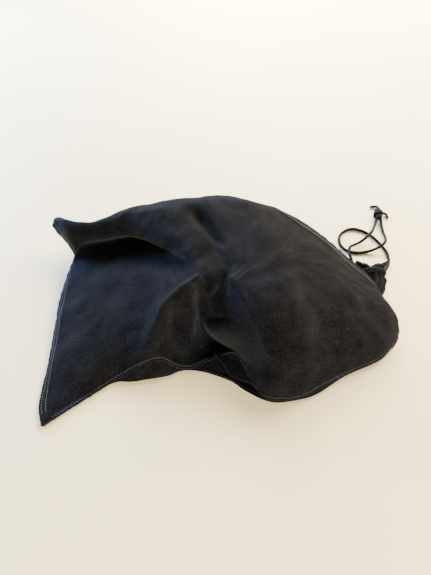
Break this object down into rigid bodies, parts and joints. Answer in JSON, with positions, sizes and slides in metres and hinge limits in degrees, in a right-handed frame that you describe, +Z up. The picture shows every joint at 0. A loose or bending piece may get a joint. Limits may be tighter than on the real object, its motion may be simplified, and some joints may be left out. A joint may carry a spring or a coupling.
{
  "type": "film changing bag",
  "caption": "Black two-layer cloth bag with a gathered drawstring mouth, lying folded on a table, for handling film in the dark.",
  "frame": {"origin": "on the table, under the middle of the bag's outline", "axes": "+X towards the gathered mouth end, +Y away from the user, +Z up"},
  "size_m": [0.4355, 0.3148, 0.067],
  "materials": {
    "outer_cloth": "matte black woven cloth",
    "lining_cloth": "matte black light-tight lining",
    "seam_cloth": "matte black folded cloth",
    "thread": "black sewing thread",
    "cord": "black braided cord"
  },
  "bodies": {
    "bag": {"outer_top_panel": "outer_cloth", "outer_under_panel": "outer_cloth", "lining_top_panel": "lining_cloth", "lining_under_panel": "lining_cloth", "near_side_seam": "seam_cloth", "near_side_stitches": "thread", "far_side_seam": "seam_cloth", "far_side_stitches": "thread", "bottom_seam": "seam_cloth", "bottom_stitches": "thread"},
    "far_corner": {"far_corner_top_cloth": "outer_cloth", "far_corner_under_cloth": "outer_cloth", "far_corner_side_seam": "seam_cloth", "far_corner_bottom_seam": "seam_cloth"},
    "mouth": {"neck_gather": "outer_cloth", "neck_lining": "lining_cloth", "drawcord_channel": "seam_cloth", "drawcord_in_channel": "cord", "mouth_frill": "outer_cloth", "left_exit_eyelet": "thread", "right_exit_eyelet": "thread"},
    "drawcord": {"drawcord_left_end": "cord", "drawcord_right_end": "cord", "end_knot": "cord", "knot_tail_left": "cord", "knot_tail_right": "cord"}
  },
  "joints": [
    {"name": "mouth_swing", "type": "hinge", "parent": "bag", "child": "mouth", "pos_m": [0.18, -0.001, 0.0145], "axis": [0, 0, 1], "range_deg": [-15, 3]},
    {"name": "drawcord_pull", "type": "slide", "parent": "mouth", "child": "drawcord", "axis": [0, 1, 0], "range_m": [0, 0.025]},
    {"name": "far_corner_lift", "type": "hinge", "parent": "bag", "child": "far_corner", "pos_m": [-0.163, 0.085, 0.042], "axis": [0.3431, 0.9393, 0], "range_deg": [0, 30]}
  ]
}
